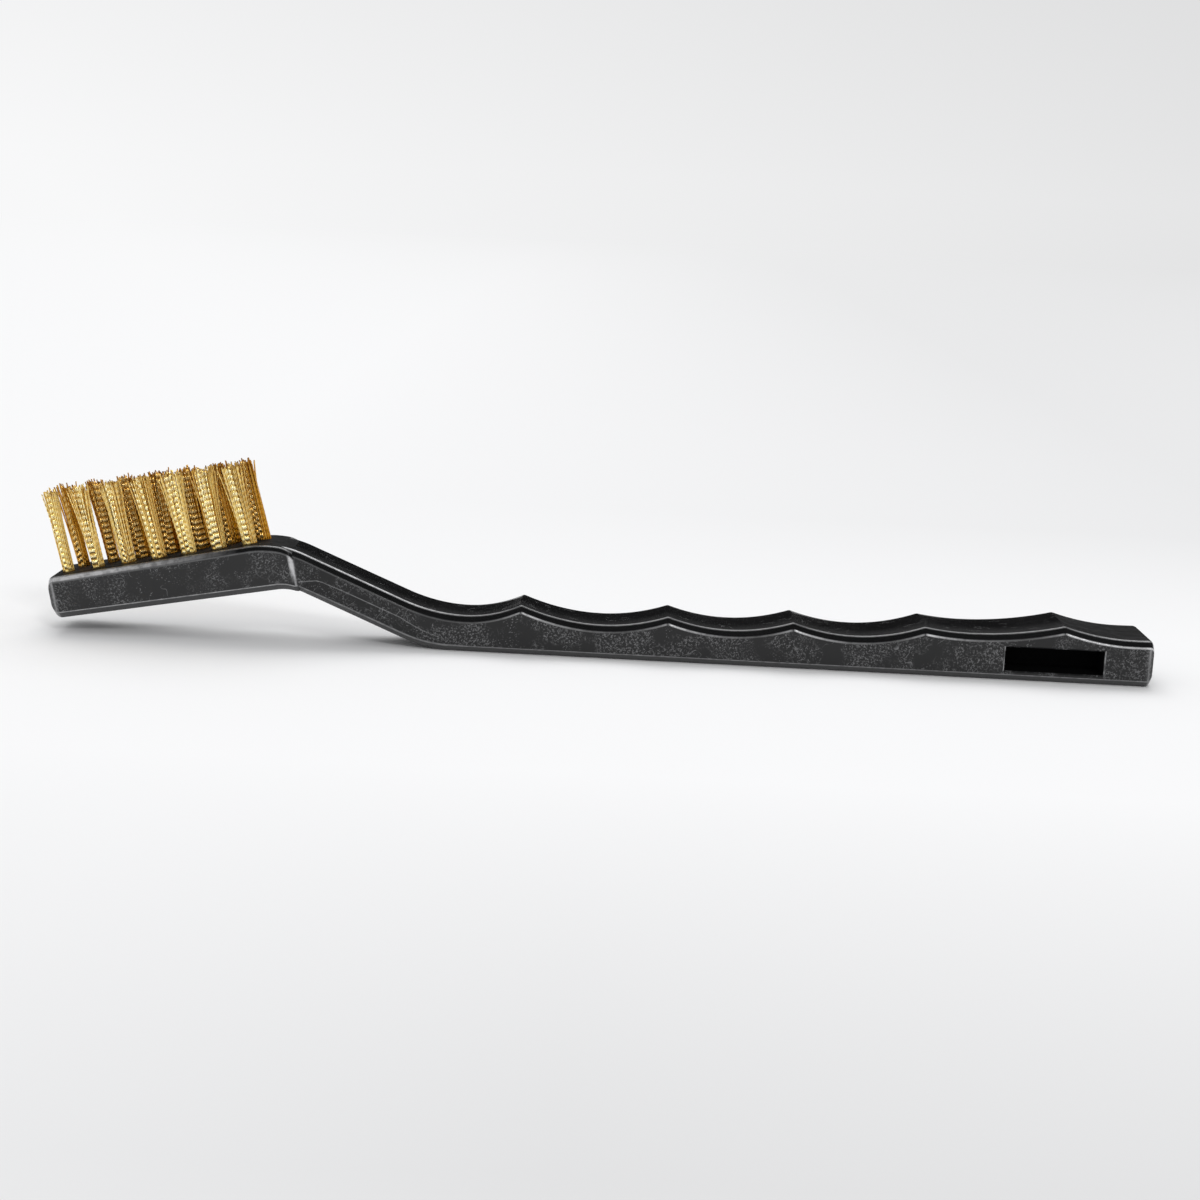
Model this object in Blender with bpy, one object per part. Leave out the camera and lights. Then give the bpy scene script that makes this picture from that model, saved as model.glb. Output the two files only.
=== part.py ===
"""Anti-static brush: a bent plastic handle with tufts of brass wire.

The brush lies on the flat back of its grip with the bristles up. X runs along
the handle from the tip of the head to the butt, Y across it and Z up. The
origin is on the back of the grip, halfway along the handle. Sizes are metres.
"""

import itertools
import math
import random

import bmesh
import bpy
from mathutils import Matrix, Vector

# Head, side view
HEAD_LENGTH = 0.0380                 # from the foot of the tip to the bend under the heel
HEAD_SLOPE = math.radians(10.2)      # rise of its underside towards the neck
TIP_THICKNESS = 0.0066
HEEL_THICKNESS = 0.0079
HEAD_END_LEAN = 0.0013               # how far the top of its end faces lies ahead of their foot
HEEL_TOP_REACH = 0.0046              # half the length of the bend over the top of the heel
HEEL_UNDER_REACH = 0.0020            # half the length of the bend under the heel
HEAD_OVERHANG = 0.0016               # the head's wider sides reach this far past that bend

# Neck, side view
NECK_RUN = 0.0220                    # along X, from the heel to where its underside meets the grip's
NECK_SLOPE = math.radians(22.4)
NECK_THICKNESS = 0.0059              # square to its slope
NECK_TOP_REACH = 0.0051
NECK_UNDER_REACH = 0.0041

# Grip, side view: a run leads from one ridge to the next, over a scooped valley
RIDGE_RUNS = (0.0089, 0.02365, 0.02005, 0.0210, 0.0222, 0.0144)
RIDGE_HEIGHTS = (0.00805, 0.0074, 0.0075, 0.0079, 0.00915)
VALLEY_HEIGHTS = (0.0059, 0.0055, 0.00575, 0.00585, 0.0073, 0.00745)
VALLEY_SHARES = (0.0, 0.55, 0.49, 0.47, 0.33, 0.76)   # where each run has its low point
BUTT_HEIGHT = 0.0075

# Widths and edges, plan view and section
TIP_WIDTH = 0.0130
HEEL_WIDTH = 0.0119
NECK_WIDTH = 0.0104
GRIP_START_WIDTH = 0.0108
BUTT_WIDTH = 0.0142
TIP_CORNER_RADIUS = 0.0022
HEEL_CORNER_RADIUS = 0.0015
BUTT_CORNER_RADIUS = 0.0015
END_EDGE_RADIUS = 0.0012
TOP_CHAMFER = 0.0010
UNDER_CHAMFER = 0.0010
CHAMFER_BULGE = 0.3                  # share of a chamfer at which its middle is rounded out
CREASE_HEIGHT = 0.0035               # the neck's lower side is set in below a crease
CREASE_INSET = 0.0002
CREASE_LEAST_RISE = 0.0003           # above the chamfer, where the crease has faded away
LEAN_RUN = 0.0073                    # length of neck in which the sections turn upright

# Blind slot in each side of the butt
SLOT_FROM_BUTT = 0.0079
SLOT_LENGTH = 0.0158
SLOT_FLOOR_WALL = 0.00165
SLOT_ROOF_WALL = 0.00175
SLOT_WEB = 0.0024                    # plastic left between the slots

# Tufts and their holes
TUFT_FROM_TIP = 0.0029               # first tuft of the front row, from the tip's top
TUFT_FROM_HEEL = 0.0048
TUFT_PITCH = 0.00488
ROW_STAGGER = 0.0016                 # the rear row is set back by this much
ROW_SPACING = 0.0036
TUFT_LEAN = math.radians(2.6)        # the tufts lean a little towards the tip
TUFT_LENGTH = 0.0140                 # what stands out of the head
TUFT_ROOT_RADIUS = 0.00104
TUFT_END_RADIUS = 0.00142
TUFT_SINK = 0.0002                   # the root's top lies this far under the head's face
LATTICE_RINGS = 2
TUFT_FAN_CURVE = 1.5                 # the wires spread more and more towards their ends
STRAND_INSET = 0.00006
STRAND_MID_SHARE = 0.5
STRAND_MID_SIZE = 0.9
STRAND_TIP_SIZE = 0.75
STRAND_WANDER = 0.00006
STRAND_RAGGED = 0.0004

# Anchors: flat strips driven in across the fold of each tuft
ANCHOR_LENGTH = 0.0032
ANCHOR_THICKNESS = 0.0003
ANCHOR_HEIGHT = 0.0015
ANCHOR_DEPTH = 0.00265               # from the head's face to the middle of the strip
FOLD_THICKNESS = 0.0005              # wire below the strip
FIT_GAP = 0.0003

# Places that follow from the sizes above
NECK_DROP = math.tan(NECK_SLOPE)
HEAD_RISE = math.tan(HEAD_SLOPE)
NECK_UPRIGHT = NECK_THICKNESS / math.cos(NECK_SLOPE)
TOP_CORNER_SHIFT = (NECK_UPRIGHT - VALLEY_HEIGHTS[0]) / NECK_DROP
HEAD_RUN = HEAD_END_LEAN + HEAD_LENGTH
HANDLE_LENGTH = HEAD_RUN + NECK_RUN + TOP_CORNER_SHIFT + NECK_TOP_REACH + sum(RIDGE_RUNS)
TIP_X = HEAD_END_LEAN - HANDLE_LENGTH / 2
HEEL_X = TIP_X + HEAD_LENGTH
STEP_X = HEEL_X + HEAD_OVERHANG
NECK_END_X = HEEL_X + NECK_RUN
TOP_CORNER_X = NECK_END_X + TOP_CORNER_SHIFT
GRIP_X = TOP_CORNER_X + NECK_TOP_REACH
BUTT_X = GRIP_X + sum(RIDGE_RUNS)
HEEL_Z = NECK_RUN * NECK_DROP
TIP_Z = HEEL_Z - HEAD_LENGTH * HEAD_RISE
TOP_RISE = (HEEL_Z + HEEL_THICKNESS - TIP_Z - TIP_THICKNESS) / HEAD_RUN
APEX_X = ((NECK_DROP * NECK_END_X + NECK_UPRIGHT - TIP_Z - TIP_THICKNESS
           + TOP_RISE * (TIP_X - HEAD_END_LEAN)) / (TOP_RISE + NECK_DROP))
TUFT_TILT = math.atan(TOP_RISE) + TUFT_LEAN
ROOT_DEPTH = ANCHOR_DEPTH + ANCHOR_HEIGHT / 2 + FIT_GAP + FOLD_THICKNESS
HOLE_DEPTH = ROOT_DEPTH + FIT_GAP
HOLE_RADIUS = TUFT_ROOT_RADIUS + FIT_GAP

# How finely curves are drawn
QUARTER_STEPS = 5
BEND_STEP = 0.0009
STRAIGHT_STEP = 0.0050
SCOOP_STEP = 0.0020
CORNER_STEP = 0.0003
LEAST_STEP = 0.00001
HOLE_SIDES = 12
SHARP_ANGLE = math.radians(25)
CUT_ABOVE = 0.0020                   # how far a hole's cutter starts above the head's face


def clear_scene():
    """Remove whatever the file opened with."""
    for item in list(bpy.data.objects):
        bpy.data.objects.remove(item, do_unlink=True)


def make_material(name, colour, roughness, metallic):
    material = bpy.data.materials.new(name)
    material.use_nodes = True
    shader = material.node_tree.nodes["Principled BSDF"]
    shader.inputs["Base Color"].default_value = (*colour, 1.0)
    shader.inputs["Roughness"].default_value = roughness
    shader.inputs["Metallic"].default_value = metallic
    return material


def add_object(name, bm, material=None):
    """Turn a bmesh into an object, with its faces out and flat faces crisp."""
    bmesh.ops.recalc_face_normals(bm, faces=bm.faces)
    mesh = bpy.data.meshes.new(name)
    bm.to_mesh(mesh)
    bm.free()
    mesh.shade_smooth()
    mesh.set_sharp_from_angle(angle=SHARP_ANGLE)
    if material is not None:
        mesh.materials.append(material)
    item = bpy.data.objects.new(name, mesh)
    bpy.context.scene.collection.objects.link(item)
    return item


def bent_line(x, corner_x, corner_z, slope_before, slope_after, reach):
    """Height of two straight lines that a parabola blends around their corner."""
    along = x - corner_x
    if along <= -reach:
        return corner_z + slope_before * along
    if along >= reach:
        return corner_z + slope_after * along
    bend = (slope_after - slope_before) * (along + reach) ** 2 / (4 * reach)
    return corner_z + slope_before * along + bend


def under_height(x):
    """The handle's underside: head, neck and flat grip."""
    if x < (HEEL_X + NECK_END_X) / 2:
        return bent_line(x, HEEL_X, HEEL_Z, HEAD_RISE, -NECK_DROP, HEEL_UNDER_REACH)
    return bent_line(x, NECK_END_X, 0.0, -NECK_DROP, 0.0, NECK_UNDER_REACH)


def scoop_height(x):
    """The grip's top: half a parabola down from each ridge to its valley and up again."""
    start = GRIP_X
    tops = (VALLEY_HEIGHTS[0],) + RIDGE_HEIGHTS + (BUTT_HEIGHT,)
    for index, run in enumerate(RIDGE_RUNS):
        if x <= start + run or index == len(RIDGE_RUNS) - 1:
            break
        start += run
    low_x = start + run * VALLEY_SHARES[index]
    low_z = VALLEY_HEIGHTS[index]
    if x < low_x:
        return low_z + (tops[index] - low_z) * ((low_x - x) / (low_x - start)) ** 2
    return low_z + (tops[index + 1] - low_z) * ((x - low_x) / (start + run - low_x)) ** 2


def head_top(x):
    """The flat face that the tufts stand on."""
    return TIP_Z + TIP_THICKNESS + TOP_RISE * (x - TIP_X + HEAD_END_LEAN)


def top_height(x):
    """The handle's top: head, neck and scooped grip."""
    if x < (APEX_X + TOP_CORNER_X) / 2:
        return bent_line(x, APEX_X, head_top(APEX_X), TOP_RISE, -NECK_DROP, HEEL_TOP_REACH)
    if x < GRIP_X:
        return bent_line(x, TOP_CORNER_X, VALLEY_HEIGHTS[0], -NECK_DROP, 0.0, NECK_TOP_REACH)
    return scoop_height(x)


def quarter_round(depth, radius):
    """How far a rounded edge is drawn in at this depth from its end."""
    if depth >= radius:
        return 0.0
    return radius - math.sqrt(max(0.0, radius ** 2 - (radius - depth) ** 2))


def share_along(x, start, end):
    return min(1.0, max(0.0, (x - start) / (end - start)))


def heel_step_reach():
    """Length along X of the rounded corner that leads down from head to neck."""
    step = (HEEL_WIDTH - NECK_WIDTH) / 2
    left = HEEL_CORNER_RADIUS - min(max(step, 0.0), HEEL_CORNER_RADIUS)
    return math.sqrt(HEEL_CORNER_RADIUS ** 2 - left ** 2)


def half_width(x):
    """Half the handle's width in plan, with the rounded corners of head and butt."""
    if x <= STEP_X:
        width = TIP_WIDTH + (HEEL_WIDTH - TIP_WIDTH) * share_along(x, TIP_X, STEP_X)
        turn = max(0.0, x - STEP_X + heel_step_reach())
        corner = HEEL_CORNER_RADIUS - math.sqrt(max(0.0, HEEL_CORNER_RADIUS ** 2 - turn ** 2))
    elif x <= GRIP_X:
        width = NECK_WIDTH + (GRIP_START_WIDTH - NECK_WIDTH) * share_along(x, STEP_X, GRIP_X)
        corner = 0.0
    else:
        width = GRIP_START_WIDTH + (BUTT_WIDTH - GRIP_START_WIDTH) * share_along(x, GRIP_X, BUTT_X)
        corner = 0.0
    corner += quarter_round(x - TIP_X, TIP_CORNER_RADIUS)
    corner += quarter_round(BUTT_X - x, BUTT_CORNER_RADIUS)
    return width / 2 - corner


def end_lean(x):
    """How far the top of a section lies ahead of its foot: full in the head, none in the neck."""
    return HEAD_END_LEAN * (1 - share_along(x, STEP_X, STEP_X + LEAN_RUN))


def crease(x):
    """Height and inset of the crease low on the neck's sides, which fades into the grip."""
    least = UNDER_CHAMFER + CREASE_LEAST_RISE
    if x <= STEP_X:
        return least, 0.0
    fade = 1 - share_along(x, NECK_END_X - NECK_UNDER_REACH, GRIP_X)
    return least + (CREASE_HEIGHT - least) * fade, CREASE_INSET * fade


def section(x):
    """Closed outline of the handle whose foot is at x."""
    low = under_height(x)
    high = top_height(x - end_lean(x))
    edge = quarter_round(x - TIP_X, END_EDGE_RADIUS) + quarter_round(BUTT_X - x, END_EDGE_RADIUS)
    crease_height, inset = crease(x)
    half = half_width(x)
    low_edge = low + edge
    high_edge = high - edge
    side = [
        (half - inset - UNDER_CHAMFER, low_edge),
        (half - inset - UNDER_CHAMFER * CHAMFER_BULGE, low_edge + UNDER_CHAMFER * CHAMFER_BULGE),
        (half - inset, low_edge + UNDER_CHAMFER),
        (half, low_edge + crease_height),
        (half, high_edge - TOP_CHAMFER),
        (half - TOP_CHAMFER * CHAMFER_BULGE, high_edge - TOP_CHAMFER * CHAMFER_BULGE),
        (half - TOP_CHAMFER, high_edge),
    ]
    outline = side + [(-y, z) for y, z in reversed(side)]
    return [Vector((x - end_lean(x) * (z - low) / (high - low), y, z)) for y, z in outline]


def spread(start, end, step):
    """Evenly spaced places from start up to, not counting, end."""
    count = max(1, math.ceil((end - start) / step))
    return [start + (end - start) * index / count for index in range(count)]


def round_places(radius):
    """Depths from an end at which its rounding is drawn."""
    angles = [math.pi / 2 * index / QUARTER_STEPS for index in range(QUARTER_STEPS + 1)]
    return [radius * (1 - math.cos(angle)) for angle in angles]


def grip_places():
    places = []
    start = GRIP_X
    for run, share in zip(RIDGE_RUNS, VALLEY_SHARES):
        low = start + run * share
        if low > start:
            places += spread(start, low, SCOOP_STEP)
        places += spread(low, start + run, SCOOP_STEP)
        start += run
    return [place for place in places if place < BUTT_X - BUTT_CORNER_RADIUS]


def section_places():
    """Where along the handle its sections are drawn, closer together in the bends."""
    tip_end = TIP_X + TIP_CORNER_RADIUS
    bend_start = APEX_X - HEEL_TOP_REACH
    corner_start = STEP_X - heel_step_reach()
    bend_end = HEEL_X + HEEL_TOP_REACH
    neck_end = NECK_END_X - NECK_UNDER_REACH
    places = [TIP_X + depth for depth in round_places(TIP_CORNER_RADIUS)]
    places += spread(tip_end, bend_start, STRAIGHT_STEP)
    places += spread(bend_start, corner_start, BEND_STEP)
    places += spread(corner_start, STEP_X, CORNER_STEP)
    places += spread(STEP_X, bend_end, BEND_STEP)
    places += spread(bend_end, neck_end, STRAIGHT_STEP)
    places += spread(neck_end, GRIP_X, BEND_STEP)
    places += grip_places()
    places += [BUTT_X - depth for depth in round_places(BUTT_CORNER_RADIUS)]
    kept = []
    for place in sorted(places):
        if not kept or place - kept[-1] > LEAST_STEP:
            kept.append(place)
    return kept


def skin_sections(bm, sections):
    """Join a row of closed outlines into one closed body."""
    loops = [[bm.verts.new(point) for point in outline] for outline in sections]
    for first, second in zip(loops, loops[1:]):
        for index in range(len(first)):
            after = (index + 1) % len(first)
            bm.faces.new((first[index], first[after], second[after], second[index]))
    bm.faces.new(loops[0])
    bm.faces.new(loops[-1])


def tuft_frames():
    """Name and placing of each tuft: its Z points out along the wires."""
    turn = Matrix.Rotation(-TUFT_TILT, 4, "Y")
    first_x = TIP_X - HEAD_END_LEAN + TUFT_FROM_TIP
    room = HEEL_X - TUFT_FROM_HEEL - ROW_STAGGER - first_x
    per_row = 1 + math.floor(room / TUFT_PITCH)
    frames = []
    for row, side, shift in (("front", -1, 0.0), ("rear", 1, ROW_STAGGER)):
        for index in range(per_row):
            x = first_x + shift + index * TUFT_PITCH
            place = Matrix.Translation((x, side * ROW_SPACING / 2, head_top(x)))
            frames.append((f"{row}_{index + 1}", place @ turn))
    return frames


def add_box(bm, size, matrix):
    ends = bmesh.ops.create_cube(bm, size=1.0)["verts"]
    bmesh.ops.transform(bm, matrix=matrix @ Matrix.Diagonal((*size, 1.0)), verts=ends)


def make_cutter(name, bm):
    cutter = add_object(name, bm)
    cutter.hide_render = True
    cutter.display_type = "WIRE"
    return cutter


def make_hole_cutter(frames):
    """Round blind holes, which start above the head's face."""
    bm = bmesh.new()
    length = HOLE_DEPTH + CUT_ABOVE
    for _, frame in frames:
        middle = Matrix.Translation((0, 0, (CUT_ABOVE - HOLE_DEPTH) / 2))
        bmesh.ops.create_cone(bm, cap_ends=True, segments=HOLE_SIDES, radius1=HOLE_RADIUS,
                              radius2=HOLE_RADIUS, depth=length, matrix=frame @ middle)
    return make_cutter("hole_cutter", bm)


def make_anchor_cutter(frames):
    """The room that each anchor takes, in the fold of its tuft and in the wall of its hole."""
    bm = bmesh.new()
    size = (ANCHOR_LENGTH + 2 * FIT_GAP, ANCHOR_THICKNESS + 2 * FIT_GAP, ANCHOR_HEIGHT + 2 * FIT_GAP)
    for _, frame in frames:
        add_box(bm, size, frame @ Matrix.Translation((0, 0, -ANCHOR_DEPTH)))
    return make_cutter("anchor_cutter", bm)


def make_slot_cutter():
    """A box from each side, with the web left between them."""
    bm = bmesh.new()
    height = min(VALLEY_HEIGHTS[-2:]) - SLOT_FLOOR_WALL - SLOT_ROOF_WALL
    middle_x = BUTT_X - SLOT_FROM_BUTT - SLOT_LENGTH / 2
    for side in (-1, 1):
        middle_y = side * (SLOT_WEB + BUTT_WIDTH) / 2
        place = Matrix.Translation((middle_x, middle_y, SLOT_FLOOR_WALL + height / 2))
        add_box(bm, (SLOT_LENGTH, BUTT_WIDTH, height), place)
    return make_cutter("slot_cutter", bm)


def cut(item, cutter):
    boolean = item.modifiers.new(cutter.name, "BOOLEAN")
    boolean.operation = "DIFFERENCE"
    boolean.solver = "EXACT"
    boolean.object = cutter


def make_handle(material, cutters):
    bm = bmesh.new()
    skin_sections(bm, [section(x) for x in section_places()])
    handle = add_object("handle", bm, material)
    for cutter in cutters:
        cut(handle, cutter)


def lattice_point(column, row):
    """A point of the three-way lattice that divides the tuft's root, in its own plane."""
    side = TUFT_ROOT_RADIUS / LATTICE_RINGS
    return Vector((side * (column + row / 2), side * row * math.sqrt(3) / 2, -TUFT_SINK))


def add_root_top(bm):
    """Six-sided top of the root, divided into the small triangles that the strands rise from."""
    rings = range(-LATTICE_RINGS, LATTICE_RINGS + 1)
    inside = [(c, r) for c in rings for r in rings if abs(c + r) <= LATTICE_RINGS]
    points = {key: bm.verts.new(lattice_point(*key)) for key in inside}
    faces = []
    for column, row in itertools.product(rings, repeat=2):
        right = (column + 1, row)
        above = (column, row + 1)
        for corner in ((column, row), (column + 1, row + 1)):
            if corner in points and right in points and above in points:
                faces.append(bm.faces.new([points[corner], points[right], points[above]]))
    rim = [vert for vert in points.values() if vert.is_boundary]
    rim.sort(key=lambda vert: math.atan2(vert.co.y, vert.co.x))
    return faces, rim


def add_root_body(bm, rim):
    """The folded wire in the hole, as one bundle below its top."""
    feet = [bm.verts.new((vert.co.x, vert.co.y, -ROOT_DEPTH)) for vert in rim]
    for index in range(len(rim)):
        after = (index + 1) % len(rim)
        bm.faces.new((rim[index], rim[after], feet[after], feet[index]))
    bm.faces.new(feet)


def raise_strands(bm, faces, plan, share, size):
    """Draw each strand out to a share of its length, fanning out from the tuft's middle."""
    drawn = bmesh.ops.extrude_discrete_faces(bm, faces=faces)["faces"]
    for face, (root, tip_shift, length) in zip(drawn, plan):
        middle = face.calc_center_median()
        radius = TUFT_ROOT_RADIUS + (TUFT_END_RADIUS - TUFT_ROOT_RADIUS) * share ** TUFT_FAN_CURVE
        target = root * (radius / TUFT_ROOT_RADIUS) + tip_shift * share
        target.z = length * share
        for vert in face.verts:
            vert.co = target + (vert.co - middle) * size
    return drawn


def make_tuft(name, frame, seed, material):
    """One folded bundle of wire, drawn as strands fused to a slice of the root."""
    chance = random.Random(seed)
    bm = bmesh.new()
    faces, rim = add_root_top(bm)
    add_root_body(bm, rim)
    bmesh.ops.inset_individual(bm, faces=faces, thickness=STRAND_INSET)
    plan = []
    for face in faces:
        shift = [chance.uniform(-STRAND_WANDER, STRAND_WANDER) for _ in range(2)]
        length = TUFT_LENGTH + chance.uniform(-STRAND_RAGGED, STRAND_RAGGED)
        plan.append((face.calc_center_median(), Vector((*shift, 0.0)), length))
    faces = raise_strands(bm, faces, plan, STRAND_MID_SHARE, STRAND_MID_SIZE)
    raise_strands(bm, faces, plan, 1.0, STRAND_TIP_SIZE / STRAND_MID_SIZE)
    tuft = add_object(name, bm, material)
    tuft.matrix_world = frame
    return tuft


def make_anchor(name, frame, material):
    bm = bmesh.new()
    add_box(bm, (ANCHOR_LENGTH, ANCHOR_THICKNESS, ANCHOR_HEIGHT), Matrix.Identity(4))
    anchor = add_object(name, bm, material)
    anchor.matrix_world = frame @ Matrix.Translation((0, 0, -ANCHOR_DEPTH))


def build():
    clear_scene()
    plastic = make_material("black_conductive_plastic", (0.035, 0.036, 0.038), 0.38, 0.0)
    brass = make_material("brass_wire", (0.72, 0.50, 0.18), 0.3, 1.0)
    strip = make_material("anchor_strip", (0.66, 0.60, 0.50), 0.35, 1.0)
    frames = tuft_frames()
    anchor_room = make_anchor_cutter(frames)
    make_handle(plastic, (make_hole_cutter(frames), anchor_room, make_slot_cutter()))
    for seed, (name, frame) in enumerate(frames):
        tuft = make_tuft(f"tuft_{name}", frame, seed, brass)
        cut(tuft, anchor_room)
        make_anchor(f"anchor_{name}", frame, strip)


build()
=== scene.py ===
"""Looks of an anti-static brush: black plastic handle with tufts of crimped brass wire.

The brush lies on the flat back of its grip with the bristles up. X runs along
the handle from the tip of the head to the butt, Y across it and Z up. Sizes are
metres. The handle and the tufts are built here again with fine edges and real
wires, from the same sizes as the solids that they replace.
"""

from functools import reduce
from itertools import accumulate
import math
import random

import bmesh
import bpy
from mathutils import Matrix, Vector
from mathutils.kdtree import KDTree


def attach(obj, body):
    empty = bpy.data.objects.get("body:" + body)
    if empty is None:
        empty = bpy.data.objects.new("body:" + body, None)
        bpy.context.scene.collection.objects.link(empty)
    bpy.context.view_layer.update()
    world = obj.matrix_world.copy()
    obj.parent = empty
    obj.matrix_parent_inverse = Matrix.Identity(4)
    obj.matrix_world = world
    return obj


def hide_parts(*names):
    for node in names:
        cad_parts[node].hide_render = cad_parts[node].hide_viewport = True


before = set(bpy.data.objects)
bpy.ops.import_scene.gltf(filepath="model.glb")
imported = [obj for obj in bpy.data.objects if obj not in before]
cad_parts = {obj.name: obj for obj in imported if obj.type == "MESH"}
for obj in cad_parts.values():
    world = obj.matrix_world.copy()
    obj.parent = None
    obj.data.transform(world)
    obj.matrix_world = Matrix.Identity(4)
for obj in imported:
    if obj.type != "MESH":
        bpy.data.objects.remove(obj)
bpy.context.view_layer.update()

# Head and neck, side view, as in the solids
HEAD_LENGTH = 0.0380
HEAD_SLOPE = math.radians(10.2)
TIP_THICKNESS = 0.0066
HEEL_THICKNESS = 0.0079
HEAD_END_LEAN = 0.0013
HEEL_TOP_REACH = 0.0046
HEEL_UNDER_REACH = 0.0020
HEAD_OVERHANG = 0.0016
STEP_TOP_RUN = 0.0022  # here the head's top curves down to its step
STEP_TOP_DROP = 0.0010
STEP_FOOT_RADIUS = 0.0004
NECK_RUN = 0.0220
NECK_SLOPE = math.radians(22.4)
NECK_THICKNESS = 0.0059
NECK_TOP_REACH = 0.0051
NECK_UNDER_REACH = 0.0041
LEAN_RUN = 0.0073

# Grip, side view: runs from ridge to ridge, each over a scooped valley
RIDGE_RUNS = (0.0089, 0.02365, 0.02005, 0.0210, 0.0222, 0.0144)
RIDGE_HEIGHTS = (0.00805, 0.0074, 0.0075, 0.0079, 0.00915)
VALLEY_HEIGHTS = (0.0059, 0.0055, 0.00575, 0.00585, 0.0073, 0.00745)
VALLEY_SHARES = (0.0, 0.55, 0.49, 0.47, 0.33, 0.76)
BUTT_HEIGHT = 0.0075
RIDGE_SOFTNESS = 0.00022  # how far each ridge's crest is rounded, each way

# Widths and edges
TIP_WIDTH = 0.0130
HEEL_WIDTH = 0.0119
NECK_WIDTH = 0.0104
GRIP_START_WIDTH = 0.0108
BUTT_WIDTH = 0.0142
TIP_CORNER = 0.0015  # flat corner of the head's end, seen from above
TIP_CORNER_RUN = 0.0014
STEP_CHAMFER = 0.0007  # and where its flank turns in to the neck
STEP_CHAMFER_ROUND = 0.00014
BUTT_CORNER = 0.0008
BUTT_CORNER_RUN = 0.0008
CORNER_ROUND = 0.00022
TIP_EDGE_RADIUS = 0.0012
BUTT_EDGE_RADIUS = 0.0009
TOP_CHAMFER = 0.0010
HEAD_TOP_CHAMFER = 0.00078
UNDER_CHAMFER = 0.0010
EDGE_ROUND = 0.00024  # cut back from each edge of a chamfer before it is rounded
TOP_EDGE_ROUND = 0.00034
CREASE_START = 0.00175
CREASE_START_RUN = 0.0033
CREASE_HEIGHT = 0.0035
CREASE_INSET = 0.0002
CREASE_LEAST_RISE = 0.0003
CREASE_ROUND = 0.00012
HANDLE_SHARP_ANGLE = math.radians(32)

# Painted highlights along the edges: their strength, and where they fade
FLANK_EDGE_HIGHLIGHT = 0.06
PAST_RIDGE_HIGHLIGHT = 1.3
PAST_RIDGE_FADE = 0.0055
PAST_LAST_RIDGE_FADE = 0.0300
BEFORE_RIDGE_HIGHLIGHT = 0.6
BEFORE_RIDGE_FADE = 0.0030
RIDGE_GAP = 0.0004  # the painted highlight is broken at each ridge
BUTT_SPOT_HIGHLIGHT = 0.8
BUTT_SPOT_BACK = 0.0009
BUTT_SPOT_REACH = 0.0007
TOP_EDGE_HIGHLIGHT = 0.17  # everywhere, and what comes to it on the neck and the butt
NECK_EDGE_HIGHLIGHT = 0.8
BUTT_EDGE_HIGHLIGHT = 0.3
TIP_CHAMFER_HIGHLIGHT = 0.85
CREASE_HIGHLIGHT = 0.3
HEAD_EDGES_HIGHLIGHT = (0.65, 0.12, 0.25)  # at its bottom, its flank's upper edge and its top
UNDER_EDGE_HIGHLIGHT = 0.4
NECK_HIGHLIGHT_FADES = (0.004, 0.006)
BUTT_HIGHLIGHT_FADE = 0.003
TIP_CHAMFER_FADE = (0.010, 0.007)  # starts so far from the tip, ends so far from the heel

# Painted highlights in bands down the flanks, at the ends and at the head's step: strength at
# the foot and what comes to it at the top, distance from the end, and reach
TIP_BAND = (0.35, 0.25, 0.0009, 0.00038)
BUTT_BAND = (0.20, 0.25, 0.00075, 0.00035)
STEP_BAND_HIGHLIGHT = (0.6, 1.6)
STEP_BAND_BACKS = (0.00030, 0.00022, 0.0008)  # at its foot, and added as it widens and at its top
STEP_BAND_REACHES = (0.00022, 0.00030, -0.00036)
STEP_BAND_WIDENS = (0.2, 0.84)  # between these shares of the height, then it narrows

# Blind slot in each side of the butt
SLOT_FROM_BUTT = 0.0079
SLOT_LENGTH = 0.0158
SLOT_FLOOR_WALL = 0.00165
SLOT_ROOF_WALL = 0.00175
SLOT_WEB = 0.0024
SLOT_RIM = 0.00020

# Tufts, their holes and the strips that hold them
TUFT_FROM_TIP = 0.0029
TUFT_PITCH = 0.00488
TUFTS_PER_ROW = 7
ROW_STAGGER = 0.0016
ROW_SPACING = 0.0036
TUFT_LEAN = math.radians(2.6)
TUFT_LENGTH = 0.0140
TUFT_ROOT_RADIUS = 0.00104
TUFT_END_RADIUS = 0.00142
TUFT_FAN_CURVE = 1.5
HOLE_CLEARANCE = 0.00007
HOLE_RIM = 0.00006
HOLE_DEPTH = 0.0045
HOLE_SIDES = 24
ANCHOR_LENGTH = 0.0038
ANCHOR_ROOM = 0.0009
ANCHOR_HEIGHT = 0.0021
ANCHOR_DEPTH = 0.00265

# Wires
WIRE_RADIUS = 0.000104
WIRE_PITCH = 0.000240  # between wires where they leave the hole
WIRE_SIDES = 6
CRIMP_LENGTH = 0.00093
CRIMP_HEIGHT = 0.000092
RINGS_PER_CRIMP = 6
LOCKS_PER_TUFT = 14  # groups of wires whose crimps lie in step
BEADED_LOCKS = 4  # of these, so many bulge towards the front and the back
FULLNESS = {  # width of each tuft, as a share of the usual one
    "front": (0.92, 1.06, 1.20, 1.22, 1.26, 1.24, 1.20),
    "rear": (1.02, 1.06, 1.26, 1.36, 1.36, 1.34, 1.20),
}
FULL_END_SHARE = 0.4  # how much of that its outer end keeps
SHORTEST = 0.0017  # how much shorter than the tuft's length wires may be
SHORTER = 0.0008  # and are on the average
TRIM_FALL = 0.0006  # the tufts are trimmed so much shorter towards the neck
FOLD_DEPTH = 0.0036  # how deep in its hole a wire is folded
FOLD_CLEARANCE = 0.00026  # how far from the strip it passes there
END_TUFT_SEEDS = {"front_1": 20, "rear_7": 19}  # these two lean in, as in the photograph
SPLAY_REACH = 0.0011  # how far out the end of a wire leans at the most
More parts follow.
